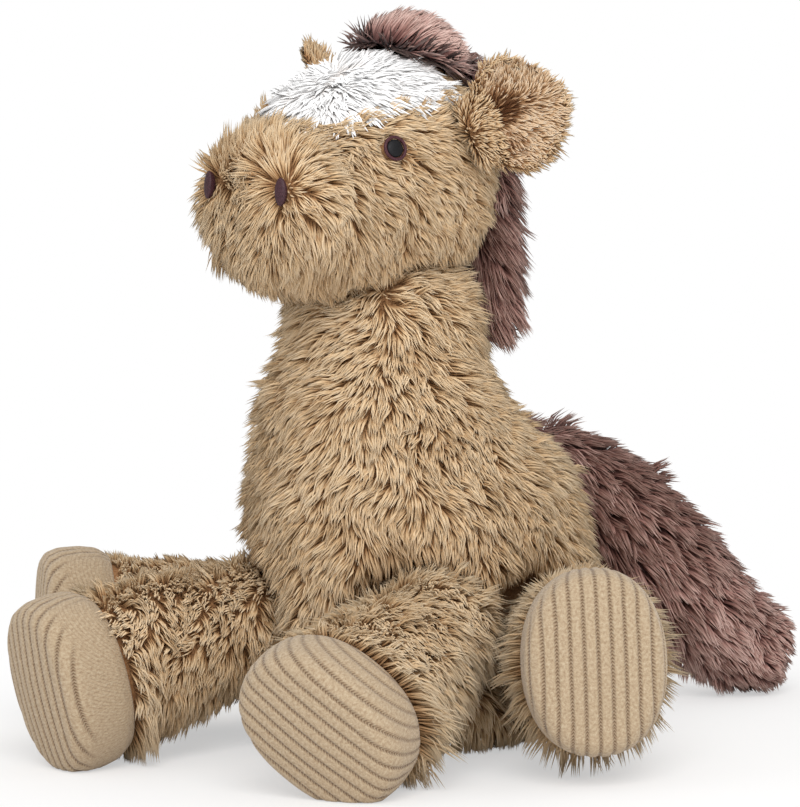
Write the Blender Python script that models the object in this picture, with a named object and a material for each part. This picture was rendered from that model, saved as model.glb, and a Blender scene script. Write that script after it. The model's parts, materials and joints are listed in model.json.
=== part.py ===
"""A seated plush horse: fur covers over stuffing, ribbed knit hooves, sewn ears, mane and tail.

The origin lies on the floor under the seat. The horse faces -Y and its left side is +X.
Each limb, the head, the tail and the ears turn about their seams. Lengths are in metres.
"""

import math

import bmesh
import bpy
from mathutils import Matrix, Vector

# Body, from the floor to the seam where the head is sewn on
BODY_HALF_WIDTH = 0.0765
BODY_FRONT = 0.096
BODY_BACK = 0.0725
NECK_RADIUS = 0.044
NECK_SETBACK = 0.033
NECK_HEIGHT = 0.188
FILL_HOLE_RADIUS = 0.014

# Head, measured from the neck seam's centre
HEAD_HALF_WIDTH = 0.049
HEAD_FRONT = 0.087
HEAD_BACK = 0.051
HEAD_TOP = 0.126
HEAD_BOTTOM = 0.011
HEAD_TURN = math.radians(-6)
HEAD_ROLL = math.radians(3)

# Fabric and the room that sewn pieces keep
COVER_WALL = 0.004
SEAM_GAP = 0.0003
FILLING_GAP = 0.0006
TURNING_GAP = 0.0006
FLOOR_CUT = 0.0005

# Legs and hooves
FRONT_LEG_LENGTH = 0.110
HIND_LEG_LENGTH = 0.122
HIP_BALL = 0.029
HIP_WAIST = 0.0268
HIP_FLARE = 0.038
HIP_FLARE_OUT = 0.015
LIFT_ROOM = math.radians(28)  # how far a leg lifts
LEG_HALF_WIDTH = 0.030
LEG_HALF_HEIGHT = 0.0365
HOOF_LENGTH = 0.032
HOOF_HALF_WIDTH = 0.031
HOOF_HALF_HEIGHT = 0.0405
SOLE_BULGE = 0.003
FRONT_HIP_HEIGHT = 0.058
HIND_HIP_HEIGHT = 0.046

# Tail, from its seam on the rump
TAIL_HEIGHT = 0.116
TAIL_REACH = 0.130
TAIL_TIP_HEIGHT = 0.017
TAIL_RADIUS = 0.0275
TAIL_BALL = 0.020
TAIL_FLARE = 0.0238
TAIL_FLARE_OUT = 0.005
TAIL_SWING = math.radians(32)

# Forelock, mane and blaze on the head
FORELOCK_HALF_WIDTH = 0.026
FORELOCK_HALF_LENGTH = 0.027
FORELOCK_HALF_HEIGHT = 0.024
FORELOCK_BACK = 0.014
FORELOCK_SUNK_SHARE = 1 / 3
MANE_HALF_WIDTH = 0.0185
MANE_HALF_THICKNESS = 0.012
MANE_STAND = 0.003
MANE_CLEAR = 0.004
BLAZE_HALF_WIDTH = 0.0355
BLAZE_FRONT = 0.068
BLAZE_BACK = 0.010
BLAZE_ASIDE = 0.0055
BLAZE_BOTTOM_SHARE = 0.66

# Ears
EAR_LENGTH = 0.046
EAR_HALF_HEIGHT = 0.026
EAR_ROOT_HALF_HEIGHT = 0.016
EAR_THICKNESS = 0.008
EAR_CUP = 0.013
EAR_SEAT = 0.003
LINING_THICKNESS = 0.002
LINING_MARGIN = 0.005
EAR_HEIGHT = 0.0905
EAR_BACK = 0.009
EAR_EDGE_SHARE = 0.25

# Embroidery
EYE_RADIUS = 0.0055
EYE_RING = 0.0014
EYE_THICKNESS = 0.0018
EYE_FRONT = 0.0355
EYE_HEIGHT = 0.0865
NOSTRIL_HALF_WIDTH = 0.0028
NOSTRIL_HALF_HEIGHT = 0.0060
NOSTRIL_THICKNESS = 0.0016
NOSTRIL_SIDE = 0.024
NOSTRIL_HEIGHT = 0.069
STITCH_STAND = 0.0005
RING_HEIGHT_SHARE = 0.7

# How finely the round forms are divided
BODY_SIDES = 24
FILLING_SIDES = 16
LIMB_SIDES = 16
LIMB_FILLING_SIDES = 12
STITCH_SIDES = 12
BALL_SIDES = 16
BALL_RINGS = 8
NECK_DOME_TURNS = tuple(math.radians(degrees) for degrees in (18, 36, 54, 70, 83))
BALL_END_TURNS = tuple(math.radians(degrees) for degrees in (20, 42, 64, 84))
EAR_ROOT_TURNS = tuple(math.radians(degrees) for degrees in (25, 55, 90))
SHARP_EDGE = math.radians(50)

# Up the body: height, then how far each size has grown from the neck to the full body
BODY_ROW_SHARES = (
    (0.000, 0.26, -0.33, 0.59),
    (0.032, 0.59, 0.14, 0.76),
    (0.096, 0.85, 0.62, 0.915),
    (0.213, 0.985, 0.95, 1.0),
    (0.372, 1.0, 1.0, 0.985),
    (0.505, 0.92, 0.985, 0.915),
    (0.612, 0.82, 0.95, 0.83),
    (0.681, 0.66, 0.91, 0.695),
    (0.734, 0.49, 0.86, 0.46),
    (0.798, 0.33, 0.79, 0.22),
    (0.878, 0.16, 0.62, 0.07),
    (0.957, 0.03, 0.21, 0.015),
    (1.000, 0.0, 0.0, 0.0),
)

# Along the head from the muzzle: reach, half width, bottom and top
HEAD_ROW_SHARES = (
    (-1.000, 0.22, 0.350, 0.505),
    (-0.992, 0.42, 0.265, 0.598),
    (-0.970, 0.63, 0.192, 0.672),
    (-0.915, 0.79, 0.142, 0.718),
    (-0.800, 0.88, 0.104, 0.742),
    (-0.706, 0.90, 0.078, 0.768),
    (-0.610, 0.91, 0.061, 0.850),
    (-0.495, 0.94, 0.039, 0.926),
    (-0.330, 0.98, 0.017, 0.986),
    (-0.120, 1.00, 0.000, 1.016),
    (0.160, 1.00, 0.000, 1.010),
    (0.470, 0.94, 0.035, 0.965),
    (0.700, 0.80, 0.122, 0.887),
    (0.880, 0.57, 0.252, 0.765),
    (0.965, 0.34, 0.370, 0.650),
    (1.000, 0.14, 0.460, 0.560),
)

# Along a leg from the hip's centre to the hoof seam: distance, half width, half height
LEG_ROW_SHARES = (
    (0.16, 0.05, 0.05),
    (0.26, 0.30, 0.28),
    (0.42, 0.66, 0.64),
    (0.62, 0.90, 0.88),
    (0.85, 1.00, 0.98),
    (1.00, 1.00, 1.00),
)

# Along a hoof from its seam to the sole: distance, half width, half height
HOOF_ROW_SHARES = (
    (0.00, 0.935, 0.90),
    (0.17, 0.985, 0.975),
    (0.42, 1.00, 1.00),
    (0.72, 0.99, 0.99),
    (0.89, 0.93, 0.94),
    (0.97, 0.82, 0.85),
    (1.00, 0.66, 0.70),
)

# Along the tail: reach, how far down it has come, thickness, how far its swing has opened
TAIL_ROW_SHARES = (
    (0.14, 0.03, 0.80, 0.20),
    (0.28, 0.14, 0.92, 0.45),
    (0.42, 0.305, 0.98, 0.65),
    (0.56, 0.51, 0.98, 0.80),
    (0.70, 0.75, 0.93, 0.90),
    (0.83, 0.91, 0.86, 0.96),
    (0.93, 0.965, 0.80, 1.00),
    (0.985, 1.00, 0.60, 1.00),
    (1.00, 1.00, 0.24, 1.00),
)

# The mane, from the crown round the head's back to the nape: place, height and width
MANE_ROW_SHARES = (
    (0.20, 1.00, 0.60),
    (0.47, 0.965, 0.90),
    (0.70, 0.887, 1.00),
    (0.88, 0.765, 1.00),
    (0.975, 0.64, 1.00),
    (1.02, 0.50, 1.00),
    (1.05, 0.36, 1.00),
    (1.09, 0.22, 1.00),
    (1.14, 0.09, 0.98),
    (1.17, -0.04, 0.90),
    (1.18, -0.13, 0.60),
)

# Half of the blaze's outline: half width, and place from its front to its back
BLAZE_OUTLINE_SHARES = (
    (0.10, 0.00),
    (0.46, 0.05),
    (0.72, 0.20),
    (0.90, 0.40),
    (0.90, 0.58),
    (0.76, 0.82),
    (0.64, 0.97),
    (0.40, 1.00),
)

# Out along an ear: distance, half height, cup depth, thickness
EAR_ROW_SHARES = (
    (0.12, 0.66, 0.15, 1.00),
    (0.26, 0.84, 0.70, 0.90),
    (0.42, 0.98, 1.00, 0.82),
    (0.58, 1.00, 1.00, 0.80),
    (0.74, 0.88, 0.85, 0.78),
    (0.88, 0.62, 0.55, 0.74),
    (0.97, 0.34, 0.25, 0.66),
    (1.00, 0.16, 0.10, 0.44),
)

# The ears: name, side, how far each tips up and how far it lies back
EARS = (
    ("left", 1, math.radians(24), math.radians(24)),
    ("right", -1, math.radians(20), math.radians(51)),
)

# Up an embroidered dome: half width and rise
DOME_SHARES = ((1.0, 0.0), (1.0, 0.35), (0.82, 0.8), (0.45, 1.0))

# The legs: name, side, length, hip's place round the body, hip height, yaw from straight ahead,
# pitch (None where the hoof comes down to the floor), roll about the leg
LEGS = (
    ("front_left", 1, FRONT_LEG_LENGTH, math.radians(45), FRONT_HIP_HEIGHT,
     math.radians(11), None, math.radians(50)),
    ("front_right", -1, FRONT_LEG_LENGTH, math.radians(42), FRONT_HIP_HEIGHT,
     math.radians(19), None, math.radians(0)),
    ("hind_left", 1, HIND_LEG_LENGTH, math.radians(96), HIND_HIP_HEIGHT,
     math.radians(45), math.radians(4), math.radians(0)),
    ("hind_right", -1, HIND_LEG_LENGTH, math.radians(91), HIND_HIP_HEIGHT,
     math.radians(38), math.radians(1), math.radians(0)),
)


def clear_scene():
    for item in list(bpy.data.objects):
        bpy.data.objects.remove(item, do_unlink=True)


def make_material(name, colour, roughness):
    material = bpy.data.materials.new(name)
    material.use_nodes = True
    shader = material.node_tree.nodes["Principled BSDF"]
    shader.inputs["Base Color"].default_value = (*colour, 1)
    shader.inputs["Roughness"].default_value = roughness
    shader.inputs["Metallic"].default_value = 0
    material.diffuse_color = (*colour, 1)
    return material


def smooth_object(mesh):
    mesh.shade_smooth()
    mesh.set_sharp_from_angle(angle=SHARP_EDGE)


def object_from(name, shape, material=None, parent=None):
    """A named object with its normals facing out and its round sides smooth."""
    bmesh.ops.recalc_face_normals(shape, faces=shape.faces)
    mesh = bpy.data.meshes.new(name)
    shape.to_mesh(mesh)
    shape.free()
    smooth_object(mesh)
    made = bpy.data.objects.new(name, mesh)
    bpy.context.scene.collection.objects.link(made)
    if material:
        mesh.materials.append(material)
    if parent:
        made.parent = parent
    return made


def make_cutter(made):
    made.hide_render = True
    made.display_type = "WIRE"
    return made


def make_pivot(name, place, turn=None, parent=None):
    pivot = bpy.data.objects.new(name, None)
    bpy.context.scene.collection.objects.link(pivot)
    pivot.matrix_local = Matrix.Translation(place) @ (turn or Matrix()).to_4x4()
    pivot.parent = parent
    return pivot


def combine(target, other, operation="DIFFERENCE"):
    step = target.modifiers.new(operation.title() + " " + other.name, "BOOLEAN")
    step.object = other
    step.operation = operation
    step.solver = "EXACT"


def loft(rings):
    """A closed form through rings of points, flat at its first and last ring."""
    shape = bmesh.new()
    loops = []
    for ring in rings:
        corners = [shape.verts.new(point) for point in ring]
        edges = [shape.edges.new((corners[i - 1], corners[i])) for i in range(len(corners))]
        loops.append((corners, edges))
    for (_, lower), (_, upper) in zip(loops, loops[1:]):
        bmesh.ops.bridge_loops(shape, edges=lower + upper)
    shape.faces.new(loops[0][0])
    shape.faces.new(loops[-1][0])
    return shape


def oval(centre, across, up, half_across, half_up, sides):
    points = []
    for i in range(sides):
        turn = math.tau * i / sides
        points.append(centre + across * (half_across * math.cos(turn)) + up * (half_up * math.sin(turn)))
    return points


def ball(name, radius, place, parent=None):
    """A round cutter whose flat faces, and not only its corners, lie a radius away."""
    shape = bmesh.new()
    corner = radius / (math.cos(math.pi / BALL_SIDES) * math.cos(math.pi / BALL_RINGS / 2))
    bmesh.ops.create_uvsphere(
        shape, u_segments=BALL_SIDES, v_segments=BALL_RINGS, radius=corner, matrix=Matrix.Translation(place)
    )
    return make_cutter(object_from(name, shape, parent=parent))


def rod(name, radius, length, place, turn=None, parent=None):
    shape = bmesh.new()
    bmesh.ops.create_cone(
        shape,
        cap_ends=True,
        segments=BALL_SIDES,
        radius1=radius,
        radius2=radius,
        depth=length,
        matrix=Matrix.Translation(place) @ (turn or Matrix()).to_4x4(),
    )
    return make_cutter(object_from(name, shape, parent=parent))


def body_oval(height_share, width_grow, front_grow, back_grow, inset):
    """Half width, centre and half length of the body at one height, less an inset."""
    half_width = NECK_RADIUS + (BODY_HALF_WIDTH - NECK_RADIUS) * width_grow
    neck_front = NECK_SETBACK + NECK_RADIUS
    neck_back = NECK_RADIUS - NECK_SETBACK
    front = neck_front + (BODY_FRONT - neck_front) * front_grow
    back = neck_back + (BODY_BACK - neck_back) * back_grow
    height = max(NECK_HEIGHT * height_share, inset)
    return height, half_width - inset, (back - front) / 2, (back + front) / 2 - inset


def body_rings(inset, sides):
    across = Vector((1, 0, 0))
    along = Vector((0, 1, 0))
    rings = []
    for row in BODY_ROW_SHARES:
        height, half_width, centre, half_length = body_oval(*row, inset)
        rings.append(oval(Vector((0, centre, height)), across, along, half_width, half_length, sides))
    dome = NECK_RADIUS - inset
    for angle in NECK_DOME_TURNS:
        centre = Vector((0, -NECK_SETBACK, NECK_HEIGHT + dome * math.sin(angle)))
        rings.append(oval(centre, across, along, dome * math.cos(angle), dome * math.cos(angle), sides))
    return rings


def body_surface(height, turn, side):
    """The place on the body at a height, turned from straight ahead towards one side."""
    share = height / NECK_HEIGHT
    for lower, upper in zip(BODY_ROW_SHARES, BODY_ROW_SHARES[1:]):
        if lower[0] <= share <= upper[0]:
            part = (share - lower[0]) / (upper[0] - lower[0])
            row = [a + (b - a) * part for a, b in zip(lower, upper)]
    _, half_width, centre, half_length = body_oval(*row, 0)
    return Vector((side * half_width * math.sin(turn), centre - half_length * math.cos(turn), height))


def leg_directions():
    """For each leg: its name, length, hip centre and the turn that lays its own +Z along the leg."""
    placed = []
    for name, side, length, hip_turn, hip_height, yaw, pitch, roll in LEGS:
        hip = body_surface(hip_height, hip_turn, side)
        half = math.hypot(HOOF_HALF_HEIGHT * math.cos(roll), HOOF_HALF_WIDTH * math.sin(roll))
        reach = length - HOOF_LENGTH / 2
        if pitch is None:
            down = math.asin((hip_height + FLOOR_CUT) / math.hypot(reach, half))
            pitch = math.atan2(half, reach) - down
        ahead = Matrix.Rotation(side * yaw, 3, "Z") @ Matrix.Rotation(math.pi / 2 - pitch, 3, "X")
        placed.append((name, length, hip, ahead @ Matrix.Rotation(side * roll, 3, "Z")))
    return placed


def leg_rows(length, inset):
    """Distance, half width and half height along the fur leg, from the hip ball to the hoof seam."""
    hip = HIP_BALL - inset
    rows = []
    for angle in BALL_END_TURNS:
        rows.append((-hip * math.cos(angle), hip * math.sin(angle), hip * math.sin(angle)))
    seam = length - HOOF_LENGTH
    for distance, wide, tall in LEG_ROW_SHARES:
        half_width = HIP_WAIST + (LEG_HALF_WIDTH - HIP_WAIST) * wide
        half_height = HIP_WAIST + (LEG_HALF_HEIGHT - HIP_WAIST) * tall
        rows.append((seam * distance, half_width - inset, half_height - inset))
    return rows


def hoof_rows(length, inset):
    """Distance, half width and half height along the hoof, from its seam to the sole."""
    seam = length - HOOF_LENGTH
    end = HOOF_LENGTH - inset
    rows = []
    for distance, wide, tall in HOOF_ROW_SHARES:
        rows.append((seam + end * distance, HOOF_HALF_WIDTH * wide - inset, HOOF_HALF_HEIGHT * tall - inset))
    last = HOOF_ROW_SHARES[-1]
    crown = rows[-1][0] + SOLE_BULGE
    rows.append((crown, (HOOF_HALF_WIDTH * last[1] - inset) / 2, (HOOF_HALF_HEIGHT * last[2] - inset) / 2))
    return rows


def limb_from(rows, sides):
    across = Vector((1, 0, 0))
    up = Vector((0, 1, 0))
    return loft([oval(Vector((0, 0, at)), across, up, wide, tall, sides) for at, wide, tall in rows])


def cut_at_floor(made):
    """Flattens a piece where it rests: what lies below the floor is cut away."""
    bpy.context.view_layer.update()
    to_world = made.matrix_world
    shape = bmesh.new()
    shape.from_mesh(made.data)
    shape.transform(to_world)
    if min(corner.co.z for corner in shape.verts) < 0:
        everything = shape.verts[:] + shape.edges[:] + shape.faces[:]
        cut = bmesh.ops.bisect_plane(
            shape, geom=everything, plane_co=(0, 0, 0), plane_no=(0, 0, 1), clear_inner=True
        )
        rim = [item for item in cut["geom_cut"] if isinstance(item, bmesh.types.BMEdge)]
        bmesh.ops.contextual_create(shape, geom=rim)
    shape.transform(to_world.inverted())
    bmesh.ops.recalc_face_normals(shape, faces=shape.faces)
    shape.to_mesh(made.data)
    shape.free()
    smooth_object(made.data)


def make_legs(fur, knit, filling):
    for name, length, hip, turn in leg_directions():
        seam = length - HOOF_LENGTH
        pivot = make_pivot(name + "_hip", hip, turn)
        outer = leg_rows(length, 0)
        cover = object_from(name + "_leg_cover", limb_from(outer, LIMB_SIDES), fur, pivot)
        inner = leg_rows(length, COVER_WALL) + hoof_rows(length, COVER_WALL)[1:]
        room = make_cutter(object_from(name + "_room", limb_from(inner, LIMB_FILLING_SIDES), parent=pivot))
        wall = COVER_WALL + FILLING_GAP
        core = limb_from(leg_rows(length, wall) + hoof_rows(length, wall)[1:], LIMB_FILLING_SIDES)
        stuffing = object_from(name + "_leg_stuffing", core, filling, pivot)
        cap = hoof_rows(length, 0)
        cap[0] = (seam + SEAM_GAP, cap[0][1], cap[0][2])
        hoof = object_from(name + "_hoof", limb_from(cap, LIMB_SIDES), knit, pivot)
        for piece in (cover, hoof, stuffing):
            cut_at_floor(piece)
        combine(cover, room)
        combine(hoof, room)


def tail_start():
    return body_surface(TAIL_HEIGHT, math.pi, 1)


def tail_rings(sides):
    start = tail_start()
    rings = []
    drop = TAIL_HEIGHT - TAIL_TIP_HEIGHT
    middles = [start]
    radii = [TAIL_BALL]
    for reach, down, thick, opened in TAIL_ROW_SHARES:
        swing = TAIL_SWING * opened
        middle = start + Vector((math.sin(swing), math.cos(swing), 0)) * (TAIL_REACH * reach)
        middle.z = TAIL_HEIGHT - drop * down
        middles.append(middle)
        radii.append(TAIL_RADIUS * thick)
    ahead = (middles[1] - middles[0]).normalized()
    across = ahead.cross(Vector((0, 0, 1))).normalized()
    for angle in BALL_END_TURNS:
        centre = start - ahead * (TAIL_BALL * math.cos(angle))
        size = TAIL_BALL * math.sin(angle)
        rings.append(oval(centre, across, across.cross(ahead), size, size, sides))
    for i in range(1, len(middles)):
        after = middles[min(i + 1, len(middles) - 1)]
        ahead = (after - middles[i - 1]).normalized()
        across = ahead.cross(Vector((0, 0, 1))).normalized()
        rings.append(oval(middles[i], across, across.cross(ahead), radii[i], radii[i], sides))
    return rings


def make_tail(shag):
    start = tail_start()
    pivot = make_pivot("tail_seam", start)
    tail = object_from("tail", loft(tail_rings(LIMB_SIDES)), shag)
    tail.data.transform(Matrix.Translation(-start))
    tail.parent = pivot
    cut_at_floor(tail)


def socket_places():
    """Each place where a hip or the tail turns: name, centre, mouth, and its ball and flare sizes."""
    places = []
    upward = Vector((0, 0, 1))
    for name, length, hip, turn in leg_directions():
        along = turn @ upward
        halfway = Matrix.Rotation(LIFT_ROOM / 2, 3, along.cross(upward)) @ along
        places.append((name, hip, hip + halfway * HIP_FLARE_OUT, HIP_BALL, HIP_FLARE))
    start = tail_start()
    places.append(("tail", start, start + Vector((0, TAIL_FLARE_OUT, 0)), TAIL_BALL, TAIL_FLARE))
    return places


def cut_sockets(cover):
    """Hollows in the cover in which the hips and the tail's root turn, wider at their mouths."""
    for name, centre, mouth, turning, flare in socket_places():
        combine(cover, ball(name + "_socket", turning + TURNING_GAP, centre))
        combine(cover, ball(name + "_flare", flare + TURNING_GAP, mouth))


def keep_off_sockets(inside, wall):
    """Keeps what lies inside the cover a wall's thickness from those hollows."""
    for name, centre, mouth, turning, flare in socket_places():
        label = name + "_wall_of_" + inside.name
        combine(inside, ball(label, turning + TURNING_GAP + wall, centre))
        combine(inside, ball(label, flare + TURNING_GAP + wall, mouth))


def make_body(fur, filling):
    cover = object_from("body_cover", loft(body_rings(0, BODY_SIDES)), fur)
    room = make_cutter(object_from("body_room", loft(body_rings(COVER_WALL, FILLING_SIDES))))
    wall = COVER_WALL + FILLING_GAP
    core = object_from("body_stuffing", loft(body_rings(wall, FILLING_SIDES)), filling)
    keep_off_sockets(room, COVER_WALL)
    keep_off_sockets(core, wall)
    combine(cover, room)
    cut_sockets(cover)
    top = Vector((0, -NECK_SETBACK, NECK_HEIGHT + NECK_RADIUS))
    combine(cover, rod("body_fill_hole", FILL_HOLE_RADIUS, NECK_RADIUS, top))


def head_height(share):
    return HEAD_BOTTOM + (HEAD_TOP - HEAD_BOTTOM) * share


def head_row(index, inset):
    """One section of the head: place along it, half width, middle and half height."""
    reach, wide, bottom, top = HEAD_ROW_SHARES[index]
    place = reach * (HEAD_FRONT - inset if reach < 0 else HEAD_BACK - inset)
    half_height = (head_height(top) - head_height(bottom)) / 2 - inset
    middle = (head_height(top) + head_height(bottom)) / 2
    return place, HEAD_HALF_WIDTH * wide - inset, middle, half_height


def head_rings(inset, sides):
    """The head's sections, less an inset. A wall's thickness ends the thin first and last ones early."""
    rings = []
    for index in range(len(HEAD_ROW_SHARES)):
        place, half_width, middle, half_height = head_row(index, inset)
        if min(half_width, half_height) > inset / 2:
            centre = Vector((0, place, middle))
            rings.append(oval(centre, Vector((1, 0, 0)), Vector((0, 0, 1)), half_width, half_height, sides))
    return rings


def head_surface(place, height, side):
    """A point on the side of the head and the direction that faces out there."""
    rows = [head_row(index, 0) for index in range(len(HEAD_ROW_SHARES))]
    for before, after in zip(rows, rows[1:]):
        if before[0] <= place <= after[0]:
            part = (place - before[0]) / (after[0] - before[0])
            row = [a + (b - a) * part for a, b in zip(before, after)]
            slope = (after[1] - before[1]) / (after[0] - before[0])
    rise = (height - row[2]) / row[3]
    flat = math.sqrt(1 - rise * rise)
    point = Vector((side * row[1] * flat, place, height))
    facing = Vector((side * flat / row[1], -slope * flat * flat / row[1], rise / row[3]))
    return point, facing.normalized()


def muzzle_surface(aside, height, side):
    """The place on the front of the muzzle that lies so far aside and so high."""
    rows = [head_row(index, 0) for index in range(len(HEAD_ROW_SHARES))]
    for before, after in zip(rows, rows[1:]):
        outside = math.hypot(aside / after[1], (height - after[2]) / after[3])
        if outside <= 1:
            inside = math.hypot(aside / before[1], (height - before[2]) / before[3])
            part = (inside - 1) / (inside - outside)
            place = before[0] + (after[0] - before[0]) * part
            middle = before[2] + (after[2] - before[2]) * part
            half_width = before[1] + (after[1] - before[1]) * part
            half_height = before[3] + (after[3] - before[3]) * part
            run = (after[0] - before[0]) / (after[1] - before[1])
            facing = Vector((side * aside / half_width * run, -1, (height - middle) / half_height * run))
            return Vector((side * aside, place, height)), facing.normalized()
    raise ValueError("the nostrils lie outside the muzzle")


def make_head(fur, white, filling, pivot):
    cover = object_from("head_cover", loft(head_rings(0, BODY_SIDES)), fur, pivot)
    panel = object_from("blaze", loft(head_rings(0, BODY_SIDES)), white, pivot)
    room = make_cutter(object_from("head_room", loft(head_rings(COVER_WALL, FILLING_SIDES)), parent=pivot))
    wall = COVER_WALL + FILLING_GAP
    core = object_from("head_stuffing", loft(head_rings(wall, FILLING_SIDES)), filling, pivot)
    centre = Vector()
    dome = NECK_RADIUS + TURNING_GAP
    combine(room, ball("head_recess_wide", dome + COVER_WALL, centre, pivot))
    combine(core, ball("head_recess_core", dome + wall, centre, pivot))
    combine(cover, room)
    combine(cover, ball("head_recess", dome, centre, pivot))
    hole = rod("head_fill_hole", FILL_HOLE_RADIUS, NECK_RADIUS / 2, Vector((0, 0, NECK_RADIUS)), parent=pivot)
    combine(cover, hole)
    window = blaze_prism("blaze_window", 0, pivot)
    patch = blaze_prism("blaze_outline", SEAM_GAP, pivot)
    combine(cover, window)
    combine(panel, room)
    combine(panel, patch, "INTERSECT")
    return cover, panel


def blaze_prism(name, inset, pivot):
    """An upright block with the blaze's outline, seen from above, through the top of the head."""
    half = []
    length = BLAZE_FRONT + BLAZE_BACK
    for wide, along in BLAZE_OUTLINE_SHARES:
        place = -BLAZE_FRONT + inset + (length - inset * 2) * along
        half.append((BLAZE_HALF_WIDTH * wide - inset, place))
    outline = [(BLAZE_ASIDE + wide, place) for wide, place in half]
    outline += [(BLAZE_ASIDE - wide, place) for wide, place in reversed(half)]
    bottom = head_height(BLAZE_BOTTOM_SHARE)
    top = HEAD_TOP + FORELOCK_HALF_HEIGHT
    rings = [[Vector((x, y, z)) for x, y in outline] for z in (bottom, top)]
    return make_cutter(object_from(name, loft(rings), parent=pivot))


def forelock_shape(grow):
    shape = bmesh.new()
    bmesh.ops.create_uvsphere(shape, u_segments=LIMB_SIDES, v_segments=BALL_RINGS, radius=1)
    place = Vector((0, FORELOCK_BACK, head_height(1) - FORELOCK_HALF_HEIGHT * FORELOCK_SUNK_SHARE))
    size = (FORELOCK_HALF_WIDTH + grow, FORELOCK_HALF_LENGTH + grow, FORELOCK_HALF_HEIGHT + grow)
    bmesh.ops.scale(shape, vec=size, verts=shape.verts)
    bmesh.ops.translate(shape, vec=place, verts=shape.verts)
    return shape


def mane_rings(sides):
    """Lies on the head's back from the crown to the nape and hangs a little way down the neck."""
    middles = [Vector((0, HEAD_BACK * place, head_height(height))) for place, height, _ in MANE_ROW_SHARES]
    across = Vector((1, 0, 0))
    rings = []
    for i, middle in enumerate(middles):
        ahead = (middles[min(i + 1, len(middles) - 1)] - middles[max(i - 1, 0)]).normalized()
        out = across.cross(ahead)
        wide = MANE_ROW_SHARES[i][2]
        centre = middle + out * MANE_STAND
        rings.append(oval(centre, across, out, MANE_HALF_WIDTH * wide, MANE_HALF_THICKNESS * wide, sides))
    return rings


def make_mane(shag, pivot):
    """The forelock and the mane, and a cutter that keeps what lies under the forelock clear of it."""
    around = make_cutter(object_from("head_clear", loft(head_rings(-SEAM_GAP, BODY_SIDES)), parent=pivot))
    forelock = object_from("forelock", forelock_shape(0), shag, pivot)
    combine(forelock, around)
    mane = object_from("mane", loft(mane_rings(LIMB_SIDES)), shag, pivot)
    forelock_room = make_cutter(object_from("forelock_room", forelock_shape(SEAM_GAP), parent=pivot))
    combine(mane, around)
    combine(mane, forelock_room)
    clear = NECK_RADIUS + TURNING_GAP + MANE_CLEAR
    combine(mane, ball("mane_turning_room", clear, Vector(), pivot))
    return forelock_room


def ear_section(half_height, cup, thickness, at, sides):
    """A curved slab across the ear: its back bulges and its edges come forward."""
    points = []
    half = sides // 2
    for i in range(half):
        turn = -1 + 2 * i / (half - 1)
        points.append(Vector((at, -cup * turn * turn + thickness / 2 * edge_round(turn), half_height * turn)))
    for i in range(half):
        turn = 1 - 2 * i / (half - 1)
        points.append(Vector((at, -cup * turn * turn - thickness / 2 * edge_round(turn), half_height * turn)))
    return points


def edge_round(turn):
    return EAR_EDGE_SHARE + (1 - EAR_EDGE_SHARE) * math.sqrt(max(0, 1 - turn**4))


def ear_rings(sides):
    rings = []
    half = EAR_THICKNESS / 2
    for angle in EAR_ROOT_TURNS:
        at = -half * math.cos(angle)
        rings.append(ear_section(EAR_ROOT_HALF_HEIGHT, 0, EAR_THICKNESS * math.sin(angle), at, sides))
    for distance, tall, cup, thick in EAR_ROW_SHARES:
        at = EAR_LENGTH * distance
        rings.append(ear_section(EAR_HALF_HEIGHT * tall, EAR_CUP * cup, EAR_THICKNESS * thick, at, sides))
    return rings


def lining_rings(sides):
    """Lies in the cup of the ear, a seam's width in front of it and short of its edge."""
    rings = []
    for distance, tall, cup, thick in EAR_ROW_SHARES[1:-1]:
        at = EAR_LENGTH * distance
        half_height = EAR_HALF_HEIGHT * tall - LINING_MARGIN
        share = half_height / (EAR_HALF_HEIGHT * tall)
        ring = ear_section(half_height, EAR_CUP * cup * share * share, LINING_THICKNESS, at, sides)
        forward = EAR_THICKNESS * thick / 2 + SEAM_GAP + LINING_THICKNESS / 2
        rings.append([point - Vector((0, forward, 0)) for point in ring])
    return rings


def make_ears(fur, lining, head_cover, pivot):
    for name, side, tilt, sweep in EARS:
        root, facing = head_surface(EAR_BACK, EAR_HEIGHT, side)
        place = root + facing * EAR_SEAT
        turn = Matrix.Rotation(side * sweep, 3, "Z") @ Matrix.Rotation(-side * tilt, 3, "Y")
        seam = make_pivot(name + "_ear_seam", place, turn, pivot)
        flip = Matrix.Scale(side, 4, Vector((1, 0, 0)))
        ear = loft(ear_rings(LIMB_SIDES))
        inner = loft(lining_rings(LIMB_FILLING_SIDES))
        for shape in (ear, inner):
            bmesh.ops.transform(shape, matrix=flip, verts=shape.verts)
        object_from(name + "_ear", ear, fur, seam)
        object_from(name + "_ear_lining", inner, lining, seam)
        groove = rod(
            name + "_ear_groove",
            EAR_THICKNESS / 2 + TURNING_GAP,
            (EAR_ROOT_HALF_HEIGHT + TURNING_GAP) * 2,
            Vector(),
            parent=seam,
        )
        combine(head_cover, groove)


def dome_shape(half_width, half_height, thickness):
    """A low stitched dome with a flat back on its own XY plane."""
    rings = []
    for share, rise in DOME_SHARES:
        centre = Vector((0, 0, thickness * rise))
        wide = half_width * share
        tall = half_height * share
        rings.append(oval(centre, Vector((1, 0, 0)), Vector((0, 1, 0)), wide, tall, STITCH_SIDES))
    return loft(rings)


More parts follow.
